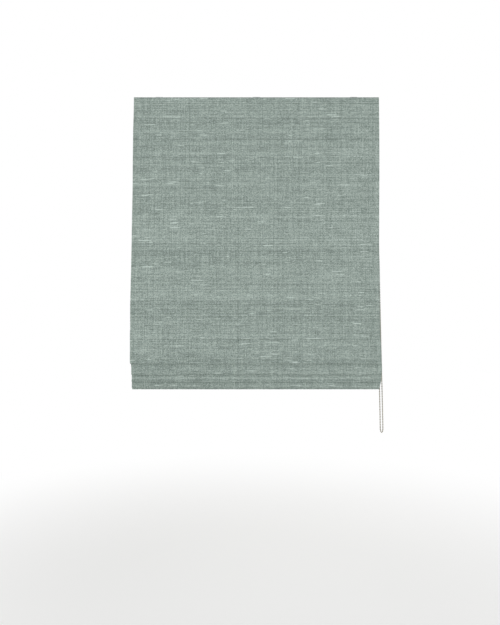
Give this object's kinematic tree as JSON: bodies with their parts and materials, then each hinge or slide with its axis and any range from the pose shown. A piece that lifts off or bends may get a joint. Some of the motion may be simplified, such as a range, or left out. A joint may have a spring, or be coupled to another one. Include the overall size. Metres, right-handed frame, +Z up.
{
  "type": "roman blind",
  "caption": "Flat linen-look roman blind, partly raised: clip-in headrail, rods and lift cords behind the cloth, folds gathered above a weighted hem, bead chain loop at the right.",
  "frame": {"origin": "middle of the plane that the mounting brackets are screwed to, midway along the headrail", "axes": "+X along the headrail to the chain side, +Y away from the room towards the window, +Z up"},
  "size_m": [0.9033, 0.0995, 1.2147],
  "materials": {
    "sage_linen": "woven, grey-green with pale slubs",
    "lining_cotton": "plain weave, off-white",
    "rail_white": "satin powder coat",
    "moulded_white": "fine satin",
    "tape_white": "hook and loop pile",
    "spring_steel": "zinc plated",
    "zinc_steel": "zinc plated",
    "bar_aluminium": "mill",
    "rod_fibreglass": "pultruded",
    "cord_white": "braided",
    "chain_taupe": "moulded beads"
  },
  "bodies": {
    "headrail": {"headrail": "rail_white", "hook_tape": "tape_white", "loop_tape": "tape_white", "idle_end_cap": "moulded_white", "drive_housing": "moulded_white", "drive_cover": "moulded_white", "clutch_spring": "spring_steel", "spool_cradle_1": "moulded_white", "spool_cradle_2": "moulded_white", "spool_cradle_3": "moulded_white", "mount_bracket_1": "spring_steel", "mount_bracket_2": "spring_steel", "mount_bracket_3": "spring_steel", "bead_chain": "chain_taupe", "chain_connector": "chain_taupe", "face_fabric": "sage_linen", "lining": "lining_cotton", "lift_cord_1": "cord_white", "lift_cord_2": "cord_white", "lift_cord_3": "cord_white"},
    "drive": {"chain_wheel": "moulded_white", "drive_sleeve": "moulded_white", "drive_shaft": "zinc_steel", "cord_spool_1": "moulded_white", "cord_spool_2": "moulded_white", "cord_spool_3": "moulded_white", "cord_winding_1": "cord_white", "cord_winding_2": "cord_white", "cord_winding_3": "cord_white"},
    "bottom": {"bottom_bar": "bar_aluminium", "bar_end_caps": "moulded_white", "rod_caps_lower": "moulded_white", "cord_guides_lower": "moulded_white", "cord_anchors": "moulded_white", "batten_rod_1": "rod_fibreglass", "batten_rod_2": "rod_fibreglass", "batten_rod_3": "rod_fibreglass", "batten_rod_4": "rod_fibreglass", "batten_rod_5": "rod_fibreglass"},
    "rod_6": {"batten_rod_6": "rod_fibreglass", "rod_caps_6": "moulded_white", "cord_guides_6": "moulded_white"},
    "rod_7": {"batten_rod_7": "rod_fibreglass", "rod_caps_7": "moulded_white", "cord_guides_7": "moulded_white"},
    "rod_8": {"batten_rod_8": "rod_fibreglass", "rod_caps_8": "moulded_white", "cord_guides_8": "moulded_white"}
  },
  "joints": [
    {"name": "bottom_lift", "type": "slide", "parent": "headrail", "child": "bottom", "axis": [0, 0.0274, 0.9996], "range_m": [-0.68094, 0.76105], "deforming": ["face_fabric", "lining", "lift_cord_1", "lift_cord_2", "lift_cord_3"]},
    {"name": "drive_spin", "type": "hinge", "parent": "headrail", "child": "drive", "pos_m": [0, 0, -0.021], "axis": [1, 0, 0], "range_deg": [-3421, 3061], "deforming": ["bead_chain"]},
    {"name": "rod_6_lift", "type": "slide", "parent": "headrail", "child": "rod_6", "axis": [0, 0.0274, 0.9996], "range_m": [-0.51383, 0.57405]},
    {"name": "rod_7_lift", "type": "slide", "parent": "headrail", "child": "rod_7", "axis": [0, 0.0274, 0.9996], "range_m": [-0.34472, 0.38504]},
    {"name": "rod_8_lift", "type": "slide", "parent": "headrail", "child": "rod_8", "axis": [0, 0.0274, 0.9996], "range_m": [-0.17561, 0.19604]}
  ],
  "couplings": [
    {"joint": "drive_spin", "follows": "bottom_lift", "rad_per_m": -78.431},
    {"joint": "rod_6_lift", "follows": "bottom_lift", "ratio": 0.75165},
    {"joint": "rod_7_lift", "follows": "bottom_lift", "ratio": 0.50331},
    {"joint": "rod_8_lift", "follows": "bottom_lift", "ratio": 0.25496}
  ]
}
